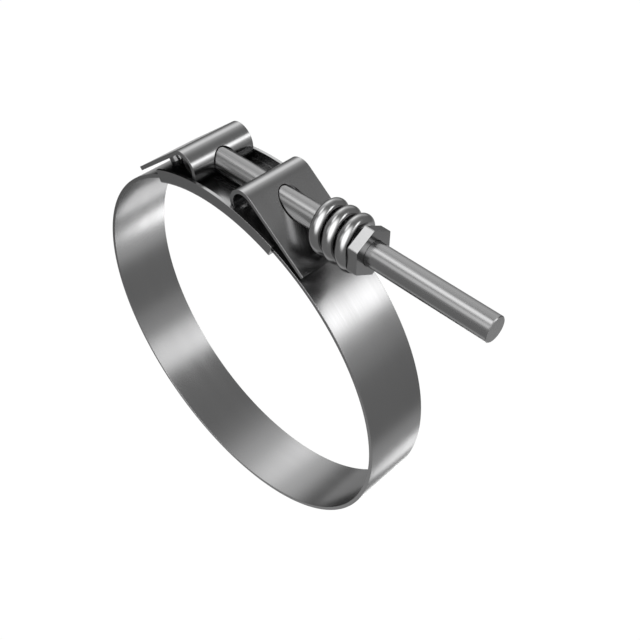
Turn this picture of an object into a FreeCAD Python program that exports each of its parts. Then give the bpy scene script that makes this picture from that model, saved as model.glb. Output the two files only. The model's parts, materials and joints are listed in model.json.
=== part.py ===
"""T-bolt hose clamp: a folded steel band with two loops, a bridge under its gap, a T-bolt, a spring and a nut.

The origin is the centre of the hose that the clamp holds, at the middle of the band's width.
+X runs along the bolt towards its free end, +Y along the hose and +Z up through the loops. Millimetres.
"""
import FreeCAD, Part
import math
import os
import Sketcher

VECTOR = FreeCAD.Vector

# Driving dimensions: name, size, what it is
SIZES = [
    ("band_width", 19.05, "width of the band along the hose"),
    ("ring_bore_radius", 54.15, "inside radius of the ring"),
    ("strip_thickness", 1.1, "thickness of the band's strip"),
    ("loop_offset", 11.2, "loop centre to the middle of the clamp"),
    ("tail_gap", 1.1, "least gap between a tail's plane and the ring"),
    ("tail_length", 21.3, "straight run of each tail"),
    ("slot_clearance", 0.3, "free space round the shank in the slots"),
    ("weld_radius", 1.75, "radius of the weld that holds a tail"),
    ("weld_inset", 2.6, "weld centre to the tail's free end"),
    ("weld_bite", 0.4, "how far the weld runs into each sheet"),
    ("bridge_thickness", 0.85, "thickness of the bridge's sheet"),
    ("bridge_clearance", 0.03, "bridge floor to the ring's inside"),
    ("bridge_angle", 44.8, "arc that the bridge covers, degrees"),
    ("flange_height", 3.75, "height of the bridge's flanges"),
    ("flange_clearance", 0.2, "flange to the band's edge"),
    ("bend_radius", 0.6, "outside bend radius under each flange"),
    ("shank_radius", 3.175, "radius of the bolt"),
    ("shank_length", 88.0, "cross bar axis to the bolt's free end"),
    ("bar_step", 0.32, "cross bar's radius beyond the shank's"),
    ("bar_clearance", 0.08, "cross bar to the inside of its loop"),
    ("bar_recess", 2.5, "cross bar end to the band's edge"),
    ("bar_chamfer", 0.4, "chamfer on the cross bar's ends"),
    ("tip_chamfer", 0.2, "chamfer on the bolt's free end"),
    ("wire_radius", 1.7, "radius of the spring's wire"),
    ("spring_clearance", 0.325, "spring's inside to the shank"),
    ("coil_gap", 0.6, "gap between the spring's coils"),
    ("coil_turns", 2.95, "turns of the spring"),
    ("wire_start", 72.0, "where the wire starts below the bolt's side, degrees"),
    ("left_inset", 0.25, "wire's start to the spring's left ground end"),
    ("right_inset", 0.7, "wire's finish to the spring's right ground end"),
    ("seat_clearance", 0.25, "spring to the tail that it bears on"),
    ("nut_flats", 10.95, "nut across its flats"),
    ("nut_thickness", 2.8, "thickness of the nut"),
    ("nut_clearance", 0.05, "nut bore to the bolt, and nut to the spring"),
]

# The wire is swept with this many narrow sides, each within 0.02 mm of round
WIRE_SIDES = 20

# Relations between pieces, written in the sheet's names
RIM_RADIUS = "(sizes.ring_bore_radius + sizes.strip_thickness)"
LOOP_BORE = "(sizes.shank_radius + sizes.bar_step + sizes.bar_clearance)"
LOOP_RIM = f"({LOOP_BORE} + sizes.strip_thickness)"
LOOP_REACH = f"({RIM_RADIUS} + {LOOP_BORE})"
BOLT_HEIGHT = f"sqrt({LOOP_REACH} ^ 2 - sizes.loop_offset ^ 2)"
TAIL_RISE = f"({RIM_RADIUS} + sizes.tail_gap - {LOOP_BORE})"
TAIL_SLOPE = f"(asin(sizes.loop_offset / {LOOP_REACH}) + acos({TAIL_RISE} / {LOOP_REACH}))"
# The hose bears on the ring's underside and on both ends of the bridge
RING_LIFT = "((sizes.bridge_thickness + sizes.bridge_clearance) / (1 + cos(sizes.bridge_angle / 2 * 1 deg)))"
BOLT_LIFT = f"({RING_LIFT} + {BOLT_HEIGHT})"
SLOT_RADIUS = "(sizes.shank_radius + sizes.slot_clearance)"
SLOT_RUN = "2 * sizes.loop_offset + sizes.tail_length"
BAR_LENGTH = "sizes.band_width - 2 * sizes.bar_recess"
BRIDGE_FLOOR = "(sizes.ring_bore_radius - sizes.bridge_clearance)"
FLANGE_SPAN = "(sizes.band_width + 2 * sizes.flange_clearance)"
# A weld's centre line stands square to its tail, this far down the slope from the ring's centre
WELD_STATION = (
    f"(sizes.tail_length - sizes.weld_inset - sqrt({LOOP_REACH} ^ 2 - {TAIL_RISE} ^ 2))"
)
WELD_FOOT = f"(sqrt({RIM_RADIUS} ^ 2 - {WELD_STATION} ^ 2) - sizes.weld_bite)"
WELD_HEAD = f"({RIM_RADIUS} + sizes.tail_gap + sizes.weld_bite)"
# The spring comes nearest to the sloping tail where its wire starts
COIL_RADIUS = "(sizes.shank_radius + sizes.spring_clearance + sizes.wire_radius)"
COIL_PITCH = "(2 * sizes.wire_radius + sizes.coil_gap)"
SPRING_DROP = f"(({COIL_RADIUS} + sizes.wire_radius) * sin(sizes.wire_start * 1 deg))"
SPRING_LEFT = (
    f"(sizes.loop_offset + ({LOOP_RIM} + sizes.seat_clearance + cos({TAIL_SLOPE}) * {SPRING_DROP})"
    f" / sin({TAIL_SLOPE}))"
)
WIRE_LEFT = f"({SPRING_LEFT} + sizes.left_inset)"
SPRING_RIGHT = f"({WIRE_LEFT} + {COIL_PITCH} * sizes.coil_turns + sizes.right_inset)"
GRIND_RADIUS = f"({COIL_RADIUS} + 2 * sizes.wire_radius)"
NUT_LEFT = f"({SPRING_RIGHT} + sizes.nut_clearance)"
NUT_CORNER = "sizes.nut_flats / sqrt(3)"
NUT_BORE = "sizes.shank_radius + sizes.nut_clearance"


def make_sheet(doc):
    """Put every driving dimension in the document's sheet, with its name as alias."""
    sheet = doc.addObject("Spreadsheet::Sheet", "sizes")
    for row, (alias, size, meaning) in enumerate(SIZES, start=1):
        sheet.set(f"A{row}", meaning)
        sheet.set(f"B{row}", str(size))
        sheet.setAlias(f"B{row}", alias)
    doc.recompute()
    return sheet


def value_of(sheet, relation):
    """Number that a relation gives now, to draw a sketch in about its final shape."""
    result = sheet.evalExpression(relation)
    return float(getattr(result, "Value", result))


def make_body(doc, label, lift):
    """Start a piece, raised from the hose's centre by the given relation."""
    body = doc.addObject("PartDesign::Body", label)
    body.Label = label
    body.setExpression("Placement.Base.z", lift)
    return body


def make_sketch(body, name, plane, offset=None):
    """Attach an empty sketch to one of the body's own planes, moved along its normal by a relation."""
    sketch = body.newObject("Sketcher::SketchObject", name)
    support = next(item for item in body.Origin.OriginFeatures if item.Role == plane)
    sketch.AttachmentSupport = [(support, "")]
    sketch.MapMode = "FlatFace"
    if offset is not None:
        sketch.setExpression("AttachmentOffset.Base.z", offset)
    return sketch


def bind(sketch, constraint, relation):
    """Add a dimension to the sketch and bind it to the sheet."""
    number = sketch.addConstraint(constraint)
    sketch.setExpression(f"Constraints[{number}]", relation)


def draw_circle(sheet, sketch, radius, across=None, up=None, guide=False):
    """Draw a circle whose radius and centre are relations; a centre that is left out lies on the axis."""
    size = value_of(sheet, radius)
    place = VECTOR(value_of(sheet, across) if across else 0, value_of(sheet, up) if up else 0, 0)
    circle = sketch.addGeometry(Part.Circle(place, VECTOR(0, 0, 1), size), guide)
    bind(sketch, Sketcher.Constraint("Radius", circle, size), radius)
    if across:
        bind(sketch, Sketcher.Constraint("DistanceX", -1, 1, circle, 3, place.x), across)
    else:
        sketch.addConstraint(Sketcher.Constraint("PointOnObject", circle, 3, -2))
    if up:
        bind(sketch, Sketcher.Constraint("DistanceY", -1, 1, circle, 3, place.y), up)
    else:
        sketch.addConstraint(Sketcher.Constraint("PointOnObject", circle, 3, -1))
    return circle


def draw_outline(sketch, corners):
    """Draw straight lines from corner to corner and back to the first."""
    sides = [sketch.addGeometry(Part.LineSegment(VECTOR(*start, 0), VECTOR(*end, 0)), False)
             for start, end in zip(corners, corners[1:] + corners[:1])]
    for first, second in zip(sides, sides[1:] + sides[:1]):
        sketch.addConstraint(Sketcher.Constraint("Coincident", first, 2, second, 1))
    return sides


def draw_polygon(sheet, sketch, count, corner_radius, across=None, up=None):
    """Draw a regular polygon inside a guide circle, with its first corner straight above the centre."""
    guide = draw_circle(sheet, sketch, corner_radius, across, up, guide=True)
    ring = sketch.Geometry[guide]
    turns = [math.pi / 2 + 2 * math.pi * step / count for step in range(count)]
    corners = [(ring.Center.x + ring.Radius * math.cos(turn), ring.Center.y + ring.Radius * math.sin(turn))
               for turn in turns]
    sides = draw_outline(sketch, corners)
    for side in sides:
        sketch.addConstraint(Sketcher.Constraint("PointOnObject", side, 1, guide))
    for side in sides[1:]:
        sketch.addConstraint(Sketcher.Constraint("Equal", sides[0], side))
    sketch.addConstraint(Sketcher.Constraint("Vertical", sides[0], 1, guide, 3))


def pad(body, name, sketch, relation, symmetric=False):
    """Raise the sketch into a solid along its normal, or evenly to both sides of it."""
    feature = body.newObject("PartDesign::Pad", name)
    feature.Profile = sketch
    if symmetric:
        feature.SideType = "Symmetric"
    feature.setExpression("Length", relation)
    return feature


def pocket(doc, body, name, sketch, relation, onward):
    """Cut the sketch out of the body against its normal, or along it when onward is set."""
    doc.recompute()
    before = body.Shape.Volume
    feature = body.newObject("PartDesign::Pocket", name)
    feature.Profile = sketch
    feature.Reversed = onward
    feature.setExpression("Length", relation)
    doc.recompute()
    if body.Shape.Volume >= before:
        raise RuntimeError(f"{name} cuts nothing")
    return feature


def arc_between(centre, radius, start, end):
    """Arc that runs counter-clockwise between two directions, given as points seen from its centre."""
    first = math.atan2(start[1], start[0])
    last = math.atan2(end[1], end[0])
    if last < first:
        last += 2 * math.pi
    return Part.ArcOfCircle(Part.Circle(VECTOR(*centre, 0), VECTOR(0, 0, 1), radius), first, last)


def draw_band(sheet, sketch):
    """Closed edge-on outline of the strip: ring, loops and tails, tangent where they meet."""
    height = value_of(sheet, BOLT_HEIGHT)
    slope = math.radians(value_of(sheet, TAIL_SLOPE))
    # Each face of the strip has a radius round the ring and one round a loop
    faces = {
        "outer": (sheet.ring_bore_radius, value_of(sheet, LOOP_RIM)),
        "inner": (value_of(sheet, RIM_RADIUS), value_of(sheet, LOOP_BORE)),
    }
    at = {}
    for face, (ring_radius, loop_radius) in faces.items():
        left, right = (-sheet.loop_offset, height), (sheet.loop_offset, height)
        at["ring", face] = sketch.addGeometry(arc_between((0, 0), ring_radius, left, right), False)
        for side, centre in ((-1, left), (1, right)):
            foot = (-centre[0], -centre[1])
            head = (side * math.sin(slope), math.cos(slope))
            # Counter-clockwise, the left loop leads from ring to tail and the right one from tail to ring
            ends = (foot, head) if side < 0 else (head, foot)
            at["loop", side, face] = sketch.addGeometry(arc_between(centre, loop_radius, *ends), False)
            start = VECTOR(centre[0] + loop_radius * head[0], centre[1] + loop_radius * head[1], 0)
            run = VECTOR(side * math.cos(slope), -math.sin(slope), 0) * sheet.tail_length
            at["tail", side, face] = sketch.addGeometry(Part.LineSegment(start, start + run), False)
    for side in (-1, 1):
        tips = [sketch.Geometry[at["tail", side, face]].EndPoint for face in faces]
        at["tip", side] = sketch.addGeometry(Part.LineSegment(*tips), False)
    join_band(sketch, at)
    size_band(sheet, sketch, at)


def join_band(sketch, at):
    """Tie the strip's curves end to end, the same on both sides."""
    def join(kind, *ends):
        sketch.addConstraint(Sketcher.Constraint(kind, *ends))

    for face in ("outer", "inner"):
        join("Coincident", at["ring", face], 3, -1, 1)
        for side in (-1, 1):
            loop, tail = at["loop", side, face], at["tail", side, face]
            ring_end, at_ring, at_tail = (2, 2, 1) if side > 0 else (1, 1, 2)
            join("Tangent", at["ring", face], ring_end, loop, at_ring)
            join("Tangent", loop, at_tail, tail, 1)
    for side in (-1, 1):
        outer, inner, tip = at["tail", side, "outer"], at["tail", side, "inner"], at["tip", side]
        join("Coincident", at["loop", side, "outer"], 3, at["loop", side, "inner"], 3)
        join("Coincident", outer, 2, tip, 1)
        join("Coincident", inner, 2, tip, 2)
        join("Perpendicular", outer, tip)
        join("Parallel", outer, inner)


def size_band(sheet, sketch, at):
    """Bind the strip's radii, loop centres, tail length and slope to the sheet."""
    def size(kind, ends, relation):
        bind(sketch, Sketcher.Constraint(kind, *ends, value_of(sheet, relation)), relation)

    size("Radius", (at["ring", "outer"],), "sizes.ring_bore_radius")
    size("Radius", (at["ring", "inner"],), RIM_RADIUS)
    for side in (-1, 1):
        loop, tail = at["loop", side, "outer"], at["tail", side, "outer"]
        size("DistanceX", (-1, 1, loop, 3), f"{side} * sizes.loop_offset")
        size("DistanceY", (-1, 1, loop, 3), BOLT_HEIGHT)
        size("Distance", (tail,), "sizes.tail_length")
        line = sketch.Geometry[tail]
        run = line.EndPoint - line.StartPoint
        heading = f"-{TAIL_SLOPE}" if side > 0 else f"{TAIL_SLOPE} - 180 deg"
        bind(sketch, Sketcher.Constraint("Angle", tail, math.atan2(run.y, run.x)), heading)


def add_weld(body, side):
    """Weld between a tail and the ring under it, near the tail's free end and across its middle."""
    word = "left" if side < 0 else "right"
    weld = body.newObject("PartDesign::AdditiveCylinder", f"{word}_weld")
    weld.Placement.Rotation = FreeCAD.Rotation(VECTOR(0, side, 0), 1)
    weld.setExpression("Radius", "sizes.weld_radius")
    weld.setExpression("Height", f"{WELD_HEAD} - {WELD_FOOT}")
    across = f"{WELD_FOOT} * sin({TAIL_SLOPE}) + {WELD_STATION} * cos({TAIL_SLOPE})"
    up = f"{WELD_FOOT} * cos({TAIL_SLOPE}) - {WELD_STATION} * sin({TAIL_SLOPE})"
    weld.setExpression("Placement.Base.x", f"{side} * ({across})")
    weld.setExpression("Placement.Base.z", up)
    weld.setExpression("Placement.Rotation.Angle", TAIL_SLOPE)


def make_band(doc, sheet):
    """Strip folded into a ring with a loop at each side of its gap, pierced for the bolt."""
    body = make_body(doc, "band", RING_LIFT)
    outline = make_sketch(body, "strip_outline", "XZ_Plane")
    draw_band(sheet, outline)
    pad(body, "strip", outline, "sizes.band_width", symmetric=True)
    doc.recompute()
    for side in (-1, 1):
        add_weld(body, side)
    slot = make_sketch(body, "slot_outline", "YZ_Plane", offset="-sizes.loop_offset")
    draw_circle(sheet, slot, SLOT_RADIUS, up=BOLT_HEIGHT)
    pocket(doc, body, "bolt_slots", slot, SLOT_RUN, onward=True)
    return body


def draw_channel(sheet, section):
    """Square-cornered channel: a floor inside the ring and a flange beside each edge of the band."""
    top_of_floor = value_of(sheet, BRIDGE_FLOOR)
    under_floor = top_of_floor - sheet.bridge_thickness
    inside = value_of(sheet, FLANGE_SPAN) / 2
    outside = inside + sheet.bridge_thickness
    top = under_floor + sheet.flange_height
    floor, right, right_top, right_in, seat, left_in, left_top, left = draw_outline(section, [
        (-outside, under_floor), (outside, under_floor), (outside, top), (inside, top),
        (inside, top_of_floor), (-inside, top_of_floor), (-inside, top), (-outside, top)])
    for level in (right_top, left_top):
        section.addConstraint(Sketcher.Constraint("Horizontal", level))
    for upright in (right, right_in, left_in, left):
        section.addConstraint(Sketcher.Constraint("Vertical", upright))
    for level in (floor, seat):
        section.addConstraint(Sketcher.Constraint("Symmetric", level, 1, level, 2, -2))
    section.addConstraint(Sketcher.Constraint("PointOnObject", left_top, 2, right_top))
    bind(section, Sketcher.Constraint("DistanceX", floor, 1, floor, 2, 2 * outside),
         f"{FLANGE_SPAN} + 2 * sizes.bridge_thickness")
    bind(section, Sketcher.Constraint("DistanceX", seat, 2, seat, 1, 2 * inside), FLANGE_SPAN)
    bind(section, Sketcher.Constraint("DistanceY", -1, 1, seat, 1, top_of_floor), BRIDGE_FLOOR)
    bind(section, Sketcher.Constraint("DistanceY", floor, 2, seat, 1, sheet.bridge_thickness),
         "sizes.bridge_thickness")
    bind(section, Sketcher.Constraint("DistanceY", floor, 2, right_top, 1, sheet.flange_height),
         "sizes.flange_height")
    return under_floor


def make_bridge(doc, sheet):
    """Channel that closes the gap inside the ring, rolled to the hose's curve."""
    body = make_body(doc, "bridge", RING_LIFT)
    section = make_sketch(body, "channel_section", "YZ_Plane")
    under_floor = draw_channel(sheet, section)
    channel = body.newObject("PartDesign::Revolution", "channel")
    channel.Profile = section
    channel.ReferenceAxis = (section, ["H_Axis"])
    channel.Midplane = True
    channel.setExpression("Angle", "sizes.bridge_angle * 1 deg")
    doc.recompute()
    bends = body.newObject("PartDesign::Fillet", "bends")
    bends.Base = (channel, round_edges(channel.Shape, lambda rim: abs(rim.Radius - under_floor) < 0.001))
    bends.setExpression("Radius", "sizes.bend_radius")
    return body


def round_edges(shape, wanted):
    """Names of the circular edges whose circle passes the given test."""
    return [f"Edge{number}" for number, edge in enumerate(shape.Edges, start=1)
            if edge.Curve.TypeId == "Part::GeomCircle" and wanted(edge.Curve)]


def add_chamfer(doc, body, name, base, edges, relation):
    """Chamfer the named edges of the last feature."""
    chamfer = body.newObject("PartDesign::Chamfer", name)
    chamfer.Base = (base, edges)
    chamfer.setExpression("Size", relation)
    doc.recompute()
    return chamfer


def make_t_bolt(doc, sheet):
    """Bolt with its cross bar in one piece: the bar lies in the left loop, the shank runs along +X."""
    body = make_body(doc, "t_bolt", BOLT_LIFT)
    bar_outline = make_sketch(body, "bar_outline", "XZ_Plane")
    draw_circle(sheet, bar_outline, "sizes.shank_radius + sizes.bar_step", across="-sizes.loop_offset")
    pad(body, "cross_bar", bar_outline, BAR_LENGTH, symmetric=True)
    shank_outline = make_sketch(body, "shank_outline", "YZ_Plane", offset="-sizes.loop_offset")
    draw_circle(sheet, shank_outline, "sizes.shank_radius")
    shank = pad(body, "shank", shank_outline, "sizes.shank_length")
    doc.recompute()
    tip = sheet.shank_length - sheet.loop_offset
    tip_edges = round_edges(shank.Shape, lambda rim: abs(rim.Center.x - tip) < 0.001)
    lead = add_chamfer(doc, body, "tip_lead", shank, tip_edges, "sizes.tip_chamfer")
    bar_end = value_of(sheet, BAR_LENGTH) / 2
    bar_edges = round_edges(lead.Shape, lambda rim: abs(abs(rim.Center.y) - bar_end) < 0.001)
    add_chamfer(doc, body, "bar_leads", lead, bar_edges, "sizes.bar_chamfer")
    return body


def make_spring(doc, sheet):
    """Compression spring on the shank, its ends ground flat, between the right tail and the nut."""
    body = make_body(doc, "spring", BOLT_LIFT)
    body.Placement.Rotation = FreeCAD.Rotation(VECTOR(1, 0, 0), 1)
    body.setExpression("Placement.Rotation.Angle", "(90 - sizes.wire_start) * 1 deg")
    wire = make_sketch(body, "wire_section", "XZ_Plane")
    draw_polygon(sheet, wire, WIRE_SIDES, "sizes.wire_radius", across=WIRE_LEFT, up=f"-{COIL_RADIUS}")
    coil = body.newObject("PartDesign::AdditiveHelix", "coil")
    coil.Profile = wire
    coil.ReferenceAxis = (wire, ["H_Axis"])
    coil.Mode = "pitch-turns-angle"
    coil.setExpression("Turns", "sizes.coil_turns")
    coil.setExpression("Pitch", COIL_PITCH)
    for name, place, onward in (("left_grind", SPRING_LEFT, False), ("right_grind", SPRING_RIGHT, True)):
        outline = make_sketch(body, f"{name}_outline", "YZ_Plane", offset=place)
        draw_circle(sheet, outline, GRIND_RADIUS)
        pocket(doc, body, name, outline, "2 * sizes.wire_radius", onward)
    return body


def make_nut(doc, sheet):
    """Plain hexagon nut against the spring, with a corner at the top."""
    body = make_body(doc, "nut", BOLT_LIFT)
    hexagon = make_sketch(body, "hexagon", "YZ_Plane", offset=NUT_LEFT)
    draw_polygon(sheet, hexagon, 6, NUT_CORNER)
    pad(body, "blank", hexagon, "sizes.nut_thickness")
    bore = make_sketch(body, "bore_outline", "YZ_Plane", offset=NUT_LEFT)
    draw_circle(sheet, bore, NUT_BORE)
    pocket(doc, body, "bore", bore, "sizes.nut_thickness", onward=True)
    return body


def check(doc, bodies):
    """Stop before anything is written if a feature failed or a piece isn't one valid solid."""
    doc.recompute()
    for item in doc.Objects:
        if "Invalid" in item.State or "Error" in item.State:
            raise RuntimeError(f"{item.Label} failed: {item.State}")
    for body in bodies:
        if body.Shape.isNull() or not body.Shape.isValid() or len(body.Shape.Solids) != 1:
            raise RuntimeError(f"{body.Label} is not one valid solid")


def main():
    """Build every piece, check it and write it to parts/."""
    doc = FreeCAD.newDocument("t_bolt_clamp")
    sheet = make_sheet(doc)
    makers = (make_band, make_bridge, make_t_bolt, make_spring, make_nut)
    bodies = [maker(doc, sheet) for maker in makers]
    check(doc, bodies)
    os.makedirs("parts", exist_ok=True)
    for body in bodies:
        body.Shape.exportStep(f"parts/{body.Label}.step")
        print(f"{body.Label}: {body.Shape.Volume:.1f} mm3")
    for name, relation in (("bolt height", BOLT_HEIGHT), ("ring lift", RING_LIFT), ("bolt lift", BOLT_LIFT),
                           ("tail slope", TAIL_SLOPE), ("spring left", SPRING_LEFT),
                           ("spring right", SPRING_RIGHT), ("nut left", NUT_LEFT)):
        print(f"{name}: {value_of(sheet, relation):.4f}")


main()
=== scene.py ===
"""Looks of a spring-loaded T-bolt hose clamp: its pieces, their steels and the studio.

Every piece is a surface worked out on a grid, in metres, in the clamp's own frame: +X runs along the bolt
towards its free end, +Y along the hose and +Z up through the loops.
"""

import json
import logging
import math
from dataclasses import dataclass
from enum import Enum
from typing import Any

import bmesh
import bpy
import numpy as np
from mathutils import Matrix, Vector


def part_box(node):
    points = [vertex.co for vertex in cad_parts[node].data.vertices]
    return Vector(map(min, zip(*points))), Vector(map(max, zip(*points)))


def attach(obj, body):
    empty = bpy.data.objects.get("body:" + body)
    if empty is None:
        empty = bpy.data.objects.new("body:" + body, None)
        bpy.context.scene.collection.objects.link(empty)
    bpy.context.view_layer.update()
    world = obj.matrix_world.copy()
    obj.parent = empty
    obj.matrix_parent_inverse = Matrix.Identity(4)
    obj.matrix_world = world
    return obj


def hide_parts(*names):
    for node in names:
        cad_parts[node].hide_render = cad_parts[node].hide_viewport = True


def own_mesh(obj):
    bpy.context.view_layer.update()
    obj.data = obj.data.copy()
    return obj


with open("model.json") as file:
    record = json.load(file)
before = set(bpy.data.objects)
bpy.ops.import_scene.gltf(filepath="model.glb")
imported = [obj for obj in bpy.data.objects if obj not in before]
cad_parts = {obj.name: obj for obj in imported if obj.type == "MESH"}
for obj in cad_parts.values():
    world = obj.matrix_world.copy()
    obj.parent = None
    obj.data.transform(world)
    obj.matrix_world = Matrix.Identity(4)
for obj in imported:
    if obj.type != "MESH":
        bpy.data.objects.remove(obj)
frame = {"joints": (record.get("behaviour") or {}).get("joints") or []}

LOG = logging.getLogger("clamp")
MM = 0.001
HALF = 0.5
X_AXIS = np.array((1.0, 0.0, 0.0))
Y_AXIS = np.array((0.0, 1.0, 0.0))
# Faces that meet at more than this stay crisp
CREASE = math.radians(30)
# A flat keeps a point this close to each rounded corner, so that it is shaded flat
HOLD = 0.03 * MM
# The UV map that says where each point lies on its sheet
LAY_MAP = "lay"
# Noise seldom leaves this range, over which a steel's roughness makes its whole swing
NOISE_RANGE = (0.3, 0.7)
# The clouds in a steel have this many waves for each wave of its grain
CLOUD_WAVES = 0.06
RELIEF_STRENGTH = 0.3
# Steel reflects a trace more blue than red
BLUE_SHARE = 1.005


class Ends(Enum):
    """How the first and last rows of a grid close."""

    CAPPED = "capped"
    JOINED = "joined"


class Combine(Enum):
    """What a tool solid does to a piece."""

    CUT = "DIFFERENCE"
    ADD = "UNION"


class Lay(Enum):
    """What a steel's grain follows."""

    STRIP = "the strip's own length"
    BOLT = "the bolt's axis"
    EVEN = "nothing"


class Side(Enum):
    """Which of the band's two tails."""

    LEFT = -1
    RIGHT = 1


@dataclass(frozen=True)
class Outline:
    """Closed section of a swept piece: points (k, 2) and the outward direction at each."""

    points: np.ndarray
    normals: np.ndarray


@dataclass(frozen=True)
class Track:
    """Line in the XZ plane that a section is carried along: places (n, 2) and headings (n,) in radians."""

    places: np.ndarray
    headings: np.ndarray


def rounded_outline(corners: np.ndarray, radii: np.ndarray, steps: int = 4) -> Outline:
    """Round the corners of a counter-clockwise polygon.

    A corner's arc touches both of its sides, so it starts radius * tan(turn / 2) before the corner. Its
    centre lies one radius to the left of the incoming side, or to the right at a hollow corner.

    Args:
        corners: The polygon's corners, (k, 2).
        radii: The radius of each corner, (k,).
        steps: Number of flats in each arc.

    Returns:
        The rounded outline, with a holding point on each side of every arc.
    """
    incoming = corners - np.roll(corners, 1, axis=0)
    incoming /= np.linalg.norm(incoming, axis=1, keepdims=True)
    outgoing = np.roll(incoming, -1, axis=0)
    turn = np.arctan2(incoming[:, 0] * outgoing[:, 1] - incoming[:, 1] * outgoing[:, 0],
                      np.sum(incoming * outgoing, axis=1))
    reach = radii * np.sign(turn)
    left = np.column_stack((-incoming[:, 1], incoming[:, 0]))
    trim = radii * np.tan(np.abs(turn) / 2)
    centres = corners - incoming * trim[:, None] + left * reach[:, None]
    first = np.arctan2(-incoming[:, 0], incoming[:, 1])
    angles = first[:, None] + turn[:, None] * np.linspace(0, 1, steps + 1)
    normals = np.stack((np.cos(angles), np.sin(angles)), axis=-1)
    arcs = centres[:, None] + normals * reach[:, None, None]
    before = arcs[:, :1] - incoming[:, None] * HOLD
    after = arcs[:, -1:] + outgoing[:, None] * HOLD
    points = np.concatenate((before, arcs, after), axis=1)
    normals = np.concatenate((normals[:, :1], normals, normals[:, -1:]), axis=1)
    return Outline(points.reshape(-1, 2), normals.reshape(-1, 2))


def grid_piece(name: str, grid: np.ndarray, ends: Ends,
               lay: np.ndarray | None = None) -> bpy.types.Object:
    """Turn a grid of points into a closed piece.

    Args:
        name: The piece's name.
        grid: Points (rows, columns, 3), where each row closes on itself.
        ends: Whether the end rows are capped or joined to each other.
        lay: Place of each point on the sheet, (rows, columns, 2), for the grain.

    Returns:
        The piece, at the origin, with its faces outwards.
    """
    rows, columns = grid.shape[:2]
    index = np.arange(rows * columns).reshape(rows, columns)
    near = index if ends is Ends.JOINED else index[:-1]
    far = np.roll(index, -1, axis=0)[: len(near)]
    quads = np.stack((near, np.roll(near, -1, axis=1), np.roll(far, -1, axis=1), far), axis=-1)
    faces = quads.reshape(-1, 4).tolist()
    if ends is Ends.CAPPED:
        faces += [index[0, ::-1].tolist(), index[-1].tolist()]
    mesh = bpy.data.meshes.new(name)
    mesh.from_pydata(grid.reshape(-1, 3).tolist(), [], faces)
    if lay is not None:
        corner = np.empty(len(mesh.loops), np.int32)
        mesh.loops.foreach_get("vertex_index", corner)
        places = lay.reshape(-1, 2)[corner].astype(np.float32)
        mesh.uv_layers.new(name=LAY_MAP).data.foreach_set("uv", places.ravel())
    piece = bpy.data.objects.new(name, mesh)
    bpy.context.scene.collection.objects.link(piece)
    face_outwards(piece)
    return piece


def face_outwards(piece: bpy.types.Object) -> None:
    """Turn every face of a closed piece outwards.

    Args:
        piece: The piece whose mesh is put right.
    """
    shell = bmesh.new()
    shell.from_mesh(piece.data)
    bmesh.ops.recalc_face_normals(shell, faces=shell.faces)
    shell.to_mesh(piece.data)
    shell.free()


def combine(piece: bpy.types.Object, tool: bpy.types.Object, how: Combine) -> None:
    """Cut a tool solid out of a piece, or add it, and drop the tool.

    Args:
        piece: The piece that is kept.
        tool: The solid that is used up.
        how: Cut or add.
    """
    step = piece.modifiers.new(how.name.lower(), "BOOLEAN")
    step.operation = how.value
    step.solver = "EXACT"
    step.object = tool
    bpy.context.view_layer.update()
    finished = piece.evaluated_get(bpy.context.evaluated_depsgraph_get())
    shaped = bpy.data.meshes.new_from_object(finished)
    piece.modifiers.clear()
    piece.data = shaped
    bpy.data.objects.remove(tool)


def swept_strip(name: str, outline: Outline, track: Track, end_radius: float, height: float,
                steps: int = 4) -> bpy.types.Object:
    """Carry an outline along a track and close it with rounded ends.

    A point is the station's place, plus u - d * nu along Y, plus v - d * nv along the track's right-hand
    normal, where (u, v) is the outline's point and (nu, nv) its outward direction. The inset d is nothing
    along the track. Past each end it grows as radius * (1 - cos a), while the station moves on by
    radius * sin a.

    Args:
        name: The piece's name.
        outline: Section, with u across the strip and v out of it.
        track: Line that stops one end radius short of the strip's true ends.
        end_radius: Radius of the rounding at both ends.
        height: Height of the track's centre above the origin.
        steps: Number of flats in each end's rounding.

    Returns:
        The swept piece.
    """
    turn = np.linspace(0, math.pi / 2, steps + 1)
    beyond = np.concatenate(([-HOLD], end_radius * np.sin(turn)))
    inset = np.concatenate(([0.0], end_radius * (1 - np.cos(turn))))
    forward = np.column_stack((np.cos(track.headings), np.sin(track.headings)))
    first = track.places[0] - forward[0] * beyond[::-1, None]
    last = track.places[-1] + forward[-1] * beyond[:, None]
    places = np.concatenate((first, track.places[1:-1], last))
    headings = np.concatenate((np.full(len(beyond), track.headings[0]), track.headings[1:-1],
                               np.full(len(beyond), track.headings[-1])))
    insets = np.concatenate((inset[::-1], np.zeros(len(track.places) - 2), inset))
    section = outline.points[None] - outline.normals[None] * insets[:, None, None]
    across, out = section[..., 0], section[..., 1]
    grid = np.stack((places[:, :1] + out * np.sin(headings)[:, None], across,
                     height + places[:, 1:] - out * np.cos(headings)[:, None]), axis=-1)
    run = np.concatenate(([0.0], np.cumsum(np.linalg.norm(np.diff(places, axis=0), axis=1))))
    lay = np.stack(np.broadcast_arrays(run[:, None], across + out), axis=-1)
    return grid_piece(name, grid, Ends.CAPPED, lay)


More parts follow.
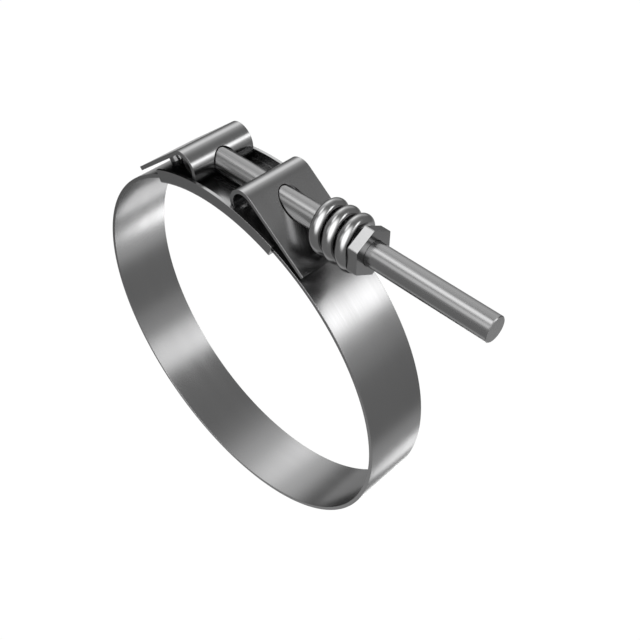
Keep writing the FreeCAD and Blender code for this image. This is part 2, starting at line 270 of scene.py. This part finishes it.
def turned_rod(name: str, stations: np.ndarray, radii: np.ndarray, start: np.ndarray, axis: np.ndarray,
               sides: int = 96) -> bpy.types.Object:
    """Turn a profile about an axis: point = start + axis * station + radius * (e1 cos a + e2 sin a).

    Args:
        name: The piece's name.
        stations: Distances along the axis, (n,).
        radii: Radius at each station, (n,).
        start: Point where the stations are counted from.
        axis: Unit vector, square to Y or along it.
        sides: Number of points round the axis.

    Returns:
        The turned piece, capped at both ends.
    """
    aside = X_AXIS if axis[1] else Y_AXIS
    second = np.cross(axis, aside)
    angles = np.linspace(0, 2 * math.pi, sides, endpoint=False)[:, None]
    spokes = np.cos(angles) * aside + np.sin(angles) * second
    grid = start + stations[:, None, None] * axis + radii[:, None, None] * spokes
    return grid_piece(name, grid, Ends.CAPPED)


def maths(tree: bpy.types.NodeTree, operation: str, *values: bpy.types.NodeSocket | float,
          clamp: bool = False) -> bpy.types.NodeSocket:
    """Add a maths node.

    Args:
        tree: The nodes that it joins.
        operation: What it does with its values.
        values: Its inputs in order, each another node's output or a plain number.
        clamp: Whether the result stays between 0 and 1.

    Returns:
        The node's output.
    """
    node = tree.nodes.new("ShaderNodeMath")
    node.operation = operation
    node.use_clamp = clamp
    for socket, value in zip(node.inputs, values):
        if isinstance(value, bpy.types.NodeSocket):
            tree.links.new(value, socket)
        else:
            socket.default_value = value
    return node.outputs[0]


def remap(tree: bpy.types.NodeTree, value: bpy.types.NodeSocket, source: tuple[float, float],
          target: tuple[float, float], smooth: bool = False) -> bpy.types.NodeSocket:
    """Carry one range of values over to another, and hold its ends.

    Args:
        tree: The nodes that it joins.
        value: What is carried over.
        source: The range that it comes from.
        target: The range that it goes to.
        smooth: Whether it leaves and reaches the ends gently.

    Returns:
        The carried value.
    """
    node = tree.nodes.new("ShaderNodeMapRange")
    node.interpolation_type = "SMOOTHSTEP" if smooth else "LINEAR"
    for name, level in zip(("From Min", "From Max", "To Min", "To Max"), (*source, *target)):
        node.inputs[name].default_value = level
    tree.links.new(value, node.inputs["Value"])
    return node.outputs["Result"]


@dataclass(frozen=True)
class Steel:
    """A steel finish.

    Its grey, its roughness and how far that swings, its grain as waves per metre along each direction, the
    depth of its relief in metres, what the grain follows, and how much it reflects at a grazing angle.
    """

    name: str
    grey: float
    roughness: float
    spread: float
    grain: tuple[float, float, float]
    depth: float
    lay: Lay
    rim: float = 0.42

    def build(self) -> bpy.types.Material:
        """Make the material: fine grain drives a shallow relief, and with broad clouds the roughness too.

        Returns:
            The material.
        """
        steel = bpy.data.materials.new(self.name)
        steel.use_nodes = True
        tree = steel.node_tree
        shader = tree.nodes["Principled BSDF"]
        shader.inputs["Base Color"].default_value = (self.grey, self.grey, self.grey * BLUE_SHARE, 1)
        shader.inputs["Metallic"].default_value = 1.0
        shader.inputs["Specular Tint"].default_value = (self.rim, self.rim, self.rim, 1)
        fine = self.noise(tree, self.grain, detail=1.0)
        broad = self.noise(tree, tuple(waves * CLOUD_WAVES for waves in self.grain), detail=0.0)
        mean = maths(tree, "MULTIPLY_ADD", fine, HALF, maths(tree, "MULTIPLY", broad, HALF))
        swing = (self.roughness - self.spread, self.roughness + self.spread)
        tree.links.new(remap(tree, mean, NOISE_RANGE, swing), shader.inputs["Roughness"])
        relief = tree.nodes.new("ShaderNodeBump")
        relief.inputs["Strength"].default_value = RELIEF_STRENGTH
        relief.inputs["Distance"].default_value = self.depth
        tree.links.new(fine, relief.inputs["Height"])
        tree.links.new(relief.outputs["Normal"], shader.inputs["Normal"])
        return steel

    def noise(self, tree: bpy.types.NodeTree, waves: tuple[float, ...],
              detail: float) -> bpy.types.NodeSocket:
        """Add noise that is stretched along the grain.

        Args:
            tree: The material's nodes.
            waves: Waves per metre along each of the pattern's directions.
            detail: Octaves added to the noise.

        Returns:
            The noise, between 0 and 1.
        """
        if self.lay is Lay.STRIP:
            source = tree.nodes.new("ShaderNodeUVMap")
            source.uv_map = LAY_MAP
            place = source.outputs["UV"]
        else:
            place = tree.nodes.new("ShaderNodeTexCoord").outputs["Object"]
        mapping = tree.nodes.new("ShaderNodeMapping")
        mapping.inputs["Scale"].default_value = waves
        tree.links.new(place, mapping.inputs["Vector"])
        noise = tree.nodes.new("ShaderNodeTexNoise")
        noise.inputs["Scale"].default_value = 1.0
        noise.inputs["Detail"].default_value = detail
        tree.links.new(mapping.outputs["Vector"], noise.inputs["Vector"])
        return noise.outputs["Fac"]


ROLLED_STRIP = Steel("rolled_strip_steel", grey=0.27, roughness=0.22, spread=0.025,
                     grain=(60.0, 4000.0, 1.0), depth=1.2e-7, lay=Lay.STRIP)
SPOT_WELD = Steel("spot_weld_steel", grey=0.26, roughness=0.35, spread=0.05,
                  grain=(900.0, 900.0, 900.0), depth=3e-7, lay=Lay.EVEN)
BRIDGE_STRIP = Steel("bridge_strip_steel", grey=0.26, roughness=0.24, spread=0.04,
                     grain=(60.0, 4000.0, 1.0), depth=2e-7, lay=Lay.STRIP)
DRAWN_BAR = Steel("drawn_bar_steel", grey=0.28, roughness=0.25, spread=0.06,
                  grain=(30.0, 1500.0, 1500.0), depth=6e-7, lay=Lay.BOLT, rim=0.6)
SPRING_WIRE = Steel("spring_wire_steel", grey=0.29, roughness=0.20, spread=0.03,
                    grain=(900.0, 900.0, 900.0), depth=2e-7, lay=Lay.EVEN)
TURNED_NUT = Steel("turned_nut_steel", grey=0.28, roughness=0.20, spread=0.04,
                   grain=(500.0, 2500.0, 2500.0), depth=2e-7, lay=Lay.BOLT)


def dress(piece: bpy.types.Object, steel: bpy.types.Material, body: str,
          node: str | None) -> None:
    """Shade a finished piece smooth apart from its creases, give it its steel, tie it to its body and hide
    the node that it stands for.

    Args:
        piece: The finished piece.
        steel: Its material.
        body: The body that it rides on.
        node: The node that it stands for, if any.
    """
    piece.data.shade_smooth()
    piece.data.set_sharp_from_angle(angle=CREASE)
    piece.data.materials.clear()
    piece.data.materials.append(steel)
    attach(piece, body)
    if node:
        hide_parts(node)
    LOG.info("%s: %d faces", piece.name, len(piece.data.polygons))


@dataclass(frozen=True)
class Layout:
    """Places that the pieces share, in metres."""

    ring_height: float
    rim_radius: float
    half_width: float
    bolt_height: float
    loop_offset: float

    @property
    def loop_rise(self) -> float:
        """Height of the loops' centres above the ring's centre."""
        return self.bolt_height - self.ring_height

    @property
    def loop_reach(self) -> float:
        """Distance from the ring's centre to a loop's centre."""
        return math.hypot(self.loop_offset, self.loop_rise)

    @property
    def loop_bore(self) -> float:
        """Inside radius of the loops, which touch the ring's outside."""
        return self.loop_reach - self.rim_radius


def packed_joint(name: str) -> dict[str, Any]:
    """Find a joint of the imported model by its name."""
    return next(joint for joint in frame["joints"] if joint["name"] == name)


def read_layout() -> Layout:
    """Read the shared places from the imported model.

    Returns:
        The places, with the ring's centre one rim radius above the band's lowest point.
    """
    low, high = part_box("band")
    hinge = packed_joint("t_bolt_swing")["pos_m"]
    return Layout(ring_height=low.z + high.x, rim_radius=high.x, half_width=high.y, bolt_height=hinge[2],
                  loop_offset=-hinge[0])


@dataclass
class Band:
    """Strip folded into a ring with a loop and a tail at each side of its gap."""

    layout: Layout
    thickness: float = 1.1 * MM
    tail_gap: float = 1.1 * MM
    tail_length: float = 21.3 * MM
    slot_radius: float = 3.475 * MM
    edge_radius: float = 0.06 * MM
    end_radius: float = 0.04 * MM
    weld_radius: float = 1.75 * MM
    weld_inset: float = 2.6 * MM
    weld_bite: float = 0.4 * MM
    ring_stations: int = 200
    loop_stations: int = 61
    tail_stations: int = 12
    weld_sides: int = 40

    @property
    def tail_rise(self) -> float:
        """Height of a tail's underside above the ring's centre, square to the tail, less the loop's bore."""
        return self.layout.rim_radius + self.tail_gap - self.layout.loop_bore

    @property
    def slope(self) -> float:
        """How far a tail points down, in radians."""
        reach = self.layout.loop_reach
        return math.asin(self.layout.loop_offset / reach) + math.acos(self.tail_rise / reach)

    def track(self) -> Track:
        """Work out the strip's middle line, from the left tail's free end to the right one's.

        The right half runs from the ring's lowest point. On the ring the heading is a quarter turn ahead of
        the spoke. On the loop it turns back, and the place is the loop's centre less the middle radius times
        the right-hand normal. The tail is straight. The left half is its mirror image, run backwards.

        Returns:
            The middle line.
        """
        layout = self.layout
        middle = layout.rim_radius - self.thickness / 2
        bend = layout.loop_bore + self.thickness / 2
        seam = math.atan2(layout.loop_rise, layout.loop_offset)
        spoke = np.linspace(-math.pi / 2, seam, self.ring_stations)
        ring = middle * np.column_stack((np.cos(spoke), np.sin(spoke)))
        turn = np.linspace(seam + math.pi / 2, -self.slope, self.loop_stations)[1:]
        centre = np.array((layout.loop_offset, layout.loop_rise))
        loop = centre - bend * np.column_stack((np.sin(turn), -np.cos(turn)))
        straight = np.linspace(0, self.tail_length - self.end_radius, self.tail_stations)[1:, None]
        tail = loop[-1] + straight * np.array((math.cos(self.slope), -math.sin(self.slope)))
        places = np.concatenate((ring, loop, tail))
        headings = np.concatenate((spoke + math.pi / 2, turn, np.full(len(tail), -self.slope)))
        mirrored = places[:0:-1] * np.array((-1.0, 1.0))
        reversed_headings = -headings[:0:-1]
        return Track(np.concatenate((mirrored, places)), np.concatenate((reversed_headings, headings)))

    def strip(self) -> bpy.types.Object:
        """Sweep the strip along its track and pierce it for the bolt.

        Returns:
            The strip, from one tail to the other.
        """
        half, wide = self.thickness / 2, self.layout.half_width
        corners = np.array(((-wide, -half), (wide, -half), (wide, half), (-wide, half)))
        outline = rounded_outline(corners, np.full(len(corners), self.edge_radius))
        strip = swept_strip("band_strip", outline, self.track(), self.end_radius,
                            self.layout.ring_height)
        run = np.array((0.0, 2 * self.layout.loop_offset + self.tail_length))
        start = np.array((-self.layout.loop_offset, 0.0, self.layout.bolt_height))
        punch = turned_rod("punch", run, np.full(len(run), self.slot_radius), start, X_AXIS)
        combine(strip, punch, Combine.CUT)
        return strip

    def weld(self, side: Side) -> bpy.types.Object:
        """Turn the short round weld between a tail and the ring under it.

        Args:
            side: The tail that it holds.

        Returns:
            The weld, which runs a little into both sheets.
        """
        layout = self.layout
        tail_start = math.sqrt(layout.loop_reach**2 - self.tail_rise**2)
        station = self.tail_length - self.weld_inset - tail_start
        foot = math.sqrt(layout.rim_radius**2 - station**2) - self.weld_bite
        head = layout.rim_radius + self.tail_gap + self.weld_bite
        axis = np.array((side.value * math.sin(self.slope), 0.0, math.cos(self.slope)))
        along = np.array((side.value * math.cos(self.slope), 0.0, -math.sin(self.slope)))
        centre = np.array((0.0, 0.0, layout.ring_height)) + station * along
        return turned_rod(f"weld_{side.name.lower()}", np.array((foot, head)),
                          np.full(2, self.weld_radius), centre, axis, self.weld_sides)

    def build(self) -> None:
        """Build and dress the strip and its two welds."""
        dress(self.strip(), ROLLED_STRIP.build(), "clamp", "band")
        weld_steel = SPOT_WELD.build()
        for side in Side:
            dress(self.weld(side), weld_steel, "clamp", None)


@dataclass
class Bridge:
    """Channel inside the ring, under its gap, with a flange up each edge of the band."""

    layout: Layout
    band_thickness: float = 1.1 * MM
    clearance: float = 0.03 * MM
    thickness: float = 0.85 * MM
    flange_height: float = 3.75 * MM
    bend_radius: float = 0.6 * MM
    inner_radius: float = 0.08 * MM
    edge_radius: float = 0.06 * MM
    end_radius: float = 0.04 * MM
    half_arc: float = math.radians(22.4)
    stations: int = 70
    corner_steps: int = 5

    def build(self) -> None:
        """Build and dress the channel: its section's v is counted from the floor's outer face."""
        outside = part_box("bridge")[1].y
        inside = outside - self.thickness
        bottom, top = -self.thickness, self.flange_height - self.thickness
        corners = np.array(((-outside, bottom), (outside, bottom), (outside, top), (inside, top),
                            (inside, 0.0), (-inside, 0.0), (-inside, top), (-outside, top)))
        bend, rim, inner = self.bend_radius, self.edge_radius, self.inner_radius
        radii = np.array((bend, bend, rim, rim, inner, inner, rim, rim))
        radius = self.layout.rim_radius - self.band_thickness - self.clearance
        half = self.half_arc - self.end_radius / radius
        spoke = math.pi / 2 + np.linspace(-half, half, self.stations)
        places = radius * np.column_stack((np.cos(spoke), np.sin(spoke)))
        channel = swept_strip("bridge_channel", rounded_outline(corners, radii, self.corner_steps),
                              Track(places, spoke + math.pi / 2), self.end_radius,
                              self.layout.ring_height)
        dress(channel, BRIDGE_STRIP.build(), "clamp", "bridge")


@dataclass
class TBolt:
    """Round shank with a cross bar in one piece."""

    layout: Layout
    shank_radius: float = 3.175 * MM
    tip_chamfer: float = 0.2 * MM
    bar_radius: float = 3.495 * MM
    bar_recess: float = 2.5 * MM
    bar_chamfer: float = 0.4 * MM

    def build(self) -> None:
        """Turn the shank and the bar, join them and dress the bolt."""
        joint = np.array((-self.layout.loop_offset, 0.0, self.layout.bolt_height))
        length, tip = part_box("t_bolt")[1].x - joint[0], self.tip_chamfer
        shank = turned_rod("bolt", np.array((0.0, length - tip, length)),
                           self.shank_radius - np.array((0.0, 0.0, tip)), joint, X_AXIS)
        half, lead = self.layout.half_width - self.bar_recess, self.bar_chamfer
        bar = turned_rod("bar", np.array((-half, lead - half, half - lead, half)),
                         self.bar_radius - np.array((lead, 0.0, 0.0, lead)), joint, Y_AXIS)
        combine(shank, bar, Combine.ADD)
        dress(shank, DRAWN_BAR.build(), "t_bolt", "t_bolt")


@dataclass
class Spring:
    """Round-wire compression spring with both ends ground flat."""

    layout: Layout
    wire_radius: float = 1.7 * MM
    coil_radius: float = 5.2 * MM
    pitch: float = 4.0 * MM
    turns: float = 2.95
    start: float = math.radians(-72)
    left_inset: float = 0.25 * MM
    stations: int = 240
    wire_sides: int = 44
    cut_tolerance: float = 1e-7

    def coil(self) -> bpy.types.Object:
        """Carry the wire's circle along a right-hand helix.

        At turn t and section angle b the point lies at x = x0 + pitch * t + r sin b, and at radius
        R + r cos b from the bolt's axis, in the direction start + 2 pi t counted from +Y towards +Z.

        Returns:
            The coil, longer than the spring at both ends.
        """
        turn = np.linspace(0, self.turns, self.stations)[:, None]
        section = np.linspace(0, 2 * math.pi, self.wire_sides, endpoint=False)[None]
        direction = self.start + 2 * math.pi * turn
        radius = self.coil_radius + self.wire_radius * np.cos(section)
        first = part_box("spring")[0].x + self.left_inset
        grid = np.stack((first + self.pitch * turn + self.wire_radius * np.sin(section),
                         radius * np.cos(direction),
                         self.layout.bolt_height + radius * np.sin(direction)), axis=-1)
        return grid_piece("spring_coil", grid, Ends.CAPPED)

    def grind(self, coil: bpy.types.Object) -> None:
        """Cut the coil off flat at both ends of its box and close the cuts.

        Args:
            coil: The coil, which is shortened.
        """
        low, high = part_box("spring")
        shell = bmesh.new()
        shell.from_mesh(coil.data)
        for place, outwards in ((low.x, -X_AXIS), (high.x, X_AXIS)):
            every = shell.verts[:] + shell.edges[:] + shell.faces[:]
            cut = bmesh.ops.bisect_plane(shell, geom=every, dist=self.cut_tolerance,
                                         plane_co=(place, 0, 0), plane_no=outwards, clear_outer=True)
            rim = [item for item in cut["geom_cut"] if isinstance(item, bmesh.types.BMEdge)]
            bmesh.ops.edgeloop_fill(shell, edges=rim)
        bmesh.ops.recalc_face_normals(shell, faces=shell.faces)
        shell.to_mesh(coil.data)
        shell.free()

    def build(self) -> None:
        """Build and dress the spring, and give it a mesh of its own; the real spring shortens towards its
        left end as the nut is turned.
        """
        coil = self.coil()
        self.grind(coil)
        dress(coil, SPRING_WIRE.build(), "t_bolt", "spring")
        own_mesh(coil)


@dataclass
class Nut:
    """Plain hexagon nut with a corner at the top."""

    layout: Layout
    bore_radius: float = 3.225 * MM
    edge_radius: float = 0.10 * MM
    corner_trim: float = 0.07 * MM
    sides: int = 6
    corner_spread: float = math.radians(1.0)
    flat_directions: tuple[float, ...] = (-0.3, -0.15, 0.0, 0.15, 0.3)

    def build(self) -> None:
        """Turn a rounded section about the bolt while its outer side follows the hexagon, and dress it.

        In the direction a, counted from the middle of a flat, the hexagon lies at apothem / cos a, and at
        its trimmed corner radius beyond that.
        """
        low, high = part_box("nut")
        apothem = high.y
        corner = high.z - self.layout.bolt_height - self.corner_trim
        shoulder = math.acos(apothem / corner)
        near = self.corner_spread
        flat = np.array((-shoulder, near - shoulder, *self.flat_directions, shoulder - near, shoulder,
                         math.pi / self.sides))
        angles = (np.arange(self.sides)[:, None] * 2 * math.pi / self.sides + flat).ravel()
        reach = np.tile(np.minimum(apothem / np.cos(flat), corner), self.sides)
        corners = np.array(((low.x, self.bore_radius), (high.x, self.bore_radius), (high.x, apothem),
                            (low.x, apothem)))
        outline = rounded_outline(corners, np.full(len(corners), self.edge_radius))
        along, away = outline.points[:, 0], outline.points[:, 1]
        outer = away > (self.bore_radius + apothem) / 2
        radius = away + outer * (reach[:, None] - apothem)
        grid = np.stack((np.broadcast_to(along, radius.shape), radius * np.cos(angles)[:, None],
                         self.layout.bolt_height + radius * np.sin(angles)[:, None]), axis=-1)
        nut = grid_piece("hexagon_nut", grid, Ends.JOINED)
        dress(nut, TURNED_NUT.build(), "nut", "nut")


@dataclass(frozen=True)
class Glow:
    """A soft bright patch of the dome: its direction, its core and rim in degrees, and its strength."""

    toward: tuple[float, float, float]
    core: float
    rim: float
    strength: float

    def add_to(self, tree: bpy.types.NodeTree, looking: bpy.types.NodeSocket,
               total: bpy.types.NodeSocket) -> bpy.types.NodeSocket:
        """Add the patch to the dome's light: full inside its core, fading smoothly to nothing at its rim.

        Args:
            tree: The world's nodes.
            looking: Direction that is looked in.
            total: Light of the dome so far.

        Returns:
            The new total.
        """
        aim = tree.nodes.new("ShaderNodeVectorMath")
        aim.operation = "DOT_PRODUCT"
        aim.inputs[1].default_value = np.array(self.toward) / np.linalg.norm(self.toward)
        tree.links.new(looking, aim.inputs[0])
        fade = (math.cos(math.radians(self.rim)), math.cos(math.radians(self.core)))
        patch = remap(tree, aim.outputs["Value"], fade, (0.0, self.strength), smooth=True)
        return maths(tree, "ADD", total, patch)


@dataclass(frozen=True)
class LightTable:
    """A flat elliptical lamp that shines up from the floor: its centre, size along X and Y, and level."""

    centre: tuple[float, float]
    size: tuple[float, float]
    level: float

    def lay(self, height: float) -> None:
        """Lay the lamp down. Its power is its level times pi times its area.

        Args:
            height: Where it lies, above the origin.
        """
        lamp = bpy.data.lights.new("light_table", "AREA")
        lamp.shape = "ELLIPSE"
        lamp.size, lamp.size_y = self.size
        lamp.energy = self.level * math.pi * math.pi * lamp.size * lamp.size_y / 4
        table = bpy.data.objects.new("light_table", lamp)
        bpy.context.scene.collection.objects.link(table)
        table.location = (*self.centre, height)
        table.rotation_euler = (math.pi, 0, 0)


@dataclass
class Studio:
    """Pale floor with a painted pool of white light and light tables, a grey dome with soft bright patches,
    and the camera.

    Lengths are in metres, angles in degrees, and the lens and its sensor in millimetres.
    """

    layout: Layout
    floor_drop: float = 0.30
    floor_reach: float = 6.0
    floor_grey: float = 0.36
    paint_grey: float = 0.86
    paint_roughness: float = 0.9
    shown_share: float = 0.97
    # The floor's painted pool of white light: its centre, its turn, its half length and half width, and where
    # it has faded to grey
    painted_light_pool_centre: tuple[float, float] = (-0.50, 0.60)
    painted_light_pool_turn: float = 135.0
    painted_light_pool_half_length: float = 0.90
    painted_light_pool_half_width: float = 0.56
    painted_light_pool_fade: float = 1.5
    table_lift: float = 1.0 * MM
    tables: tuple[LightTable, ...] = (
        LightTable(centre=(-0.095, 0.14), size=(0.17, 0.26), level=2.3),
        LightTable(centre=(0.113, 0.235), size=(0.116, 0.15), level=4.2),
    )
    dome_grey: float = 0.38
    glows: tuple[Glow, ...] = (
        Glow(toward=(0.66, 0.57, 0.49), core=0.0, rim=12.7, strength=3.75),
        Glow(toward=(0.81, 0.37, 0.455), core=0.0, rim=15.0, strength=1.6),
        Glow(toward=(0.89, 0.30, 0.33), core=3.0, rim=30.0, strength=0.38),
        Glow(toward=(-0.65, 0.53, 0.55), core=0.0, rim=18.0, strength=1.1),
        Glow(toward=(-0.84, 0.38, 0.38), core=0.0, rim=22.0, strength=0.35),
        Glow(toward=(-0.73, 0.38, 0.55), core=0.0, rim=42.0, strength=0.66),
        Glow(toward=(-0.40, 0.55, 0.73), core=0.0, rim=32.0, strength=0.25),
        Glow(toward=(-0.41, -0.17, 0.89), core=0.0, rim=19.5, strength=2.65),
        Glow(toward=(0.45, -0.58, 0.68), core=14.0, rim=50.0, strength=3.6),
        Glow(toward=(-0.43, -0.72, 0.55), core=0.0, rim=18.0, strength=1.25),
        Glow(toward=(-0.43, 0.85, 0.20), core=5.0, rim=30.0, strength=0.7),
    )
    camera_place: tuple[float, float, float] = (137.15 * MM, -110.13 * MM, 181.10 * MM)
    camera_azimuth: float = 45.0
    camera_elevation: float = 45.0
    focal_length: float = 48.37
    sensor_width: float = 36.0
    clip_near: float = 0.005
    clip_far: float = 20.0

    @property
    def floor_height(self) -> float:
        """Height of the floor above the origin."""
        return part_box("band")[0].z - self.floor_drop

    def floor_paint(self) -> bpy.types.Material:
        """Mix the pale paint with a painted pool of white light on it, which fades to grey.

        Seen by the camera, in gloss or through glass, the floor glows with painted light rather than showing
        lit paint: a painted pool of light, white inside the pool's ellipse, where (along / half length)^2 +
        (across / half width)^2 is under 1, and grey where it is over the pool's fade. The rest of its share
        is plain lit paint, which keeps the clamp's shadow.

        Returns:
            The material.
        """
        paint = bpy.data.materials.new("floor_paint")
        paint.use_nodes = True
        tree = paint.node_tree
        shader = tree.nodes["Principled BSDF"]
        paint_colour = (self.paint_grey, self.paint_grey, self.paint_grey, 1)
        shader.inputs["Base Color"].default_value = paint_colour
        shader.inputs["Roughness"].default_value = self.paint_roughness
        place = tree.nodes.new("ShaderNodeMapping")
        place.vector_type = "TEXTURE"
        place.inputs["Location"].default_value = (*self.painted_light_pool_centre, 0)
        place.inputs["Rotation"].default_value = (0, 0, math.radians(self.painted_light_pool_turn))
        place.inputs["Scale"].default_value = (self.painted_light_pool_half_length, self.painted_light_pool_half_width, 1)
        tree.links.new(tree.nodes.new("ShaderNodeTexCoord").outputs["Object"], place.inputs["Vector"])
        flat = tree.nodes.new("ShaderNodeVectorMath")
        flat.operation = "MULTIPLY"
        flat.inputs[1].default_value = (1, 1, 0)
        tree.links.new(place.outputs["Vector"], flat.inputs[0])
        square = tree.nodes.new("ShaderNodeVectorMath")
        square.operation = "DOT_PRODUCT"
        for socket in square.inputs[:2]:
            tree.links.new(flat.outputs["Vector"], socket)
        # Painted pool of light: the floor glows white inside the ellipse and fades to the floor's grey beyond
        # it
        painted_light_pool = remap(tree, square.outputs["Value"], (1.0, self.painted_light_pool_fade), (1.0, self.floor_grey),
                     smooth=True)
        glow = tree.nodes.new("ShaderNodeEmission")
        tree.links.new(painted_light_pool, glow.inputs["Strength"])
        path = tree.nodes.new("ShaderNodeLightPath")
        seen = path.outputs["Is Camera Ray"]
        for ray in ("Is Glossy Ray", "Is Transmission Ray"):
            seen = maths(tree, "ADD", seen, path.outputs[ray], clamp=True)
        mix = tree.nodes.new("ShaderNodeMixShader")
        tree.links.new(maths(tree, "MULTIPLY", seen, self.shown_share), mix.inputs["Fac"])
        tree.links.new(shader.outputs["BSDF"], mix.inputs[1])
        tree.links.new(glow.outputs["Emission"], mix.inputs[2])
        tree.links.new(mix.outputs["Shader"], tree.nodes["Material Output"].inputs["Surface"])
        return paint

    def lay_floor(self) -> None:
        """Lay a wide floor under the clamp, with the light tables on it."""
        wide, low = self.floor_reach, self.floor_height
        mesh = bpy.data.meshes.new("floor")
        corners = [(-wide, -wide, low), (wide, -wide, low), (wide, wide, low), (-wide, wide, low)]
        mesh.from_pydata(corners, [], [(0, 1, 2, 3)])
        mesh.materials.append(self.floor_paint())
        floor = bpy.data.objects.new("floor", mesh)
        bpy.context.scene.collection.objects.link(floor)
        for table in self.tables:
            table.lay(low + self.table_lift)

    def light_dome(self) -> None:
        """Light the clamp from a grey dome with soft bright patches."""
        world = bpy.data.worlds.new("dome")
        bpy.context.scene.world = world
        world.use_nodes = True
        tree = world.node_tree
        looking = tree.nodes.new("ShaderNodeTexCoord").outputs["Generated"]
        base = tree.nodes.new("ShaderNodeValue")
        base.outputs[0].default_value = self.dome_grey
        total = base.outputs[0]
        for glow in self.glows:
            total = glow.add_to(tree, looking, total)
        tree.links.new(total, tree.nodes["Background"].inputs["Strength"])
        tree.nodes["Background"].inputs["Color"].default_value = (1, 1, 1, 1)

    def set_camera(self) -> None:
        """Set the camera where the picture was taken from."""
        camera = bpy.data.cameras.new("camera")
        camera.lens = self.focal_length
        camera.sensor_width = self.sensor_width
        camera.clip_start = self.clip_near
        camera.clip_end = self.clip_far
        view = bpy.data.objects.new("camera", camera)
        bpy.context.scene.collection.objects.link(view)
        view.location = np.array(self.camera_place) + np.array((0.0, 0.0, self.layout.ring_height))
        tilt = math.radians(90 - self.camera_elevation)
        view.rotation_euler = (tilt, 0, math.radians(self.camera_azimuth))
        bpy.context.scene.camera = view

    def build(self) -> None:
        """Set up the floor, the light and the camera."""
        bpy.context.scene.view_settings.view_transform = "Standard"
        self.lay_floor()
        self.light_dome()
        self.set_camera()


def main() -> None:
    """Build every piece in order, then the studio."""
    logging.basicConfig(level=logging.INFO, format="%(name)s: %(message)s")
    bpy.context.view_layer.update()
    layout = read_layout()
    for part in (Band(layout), Bridge(layout), TBolt(layout), Spring(layout), Nut(layout)):
        part.build()
    Studio(layout).build()


if __name__ == "__main__":
    main()
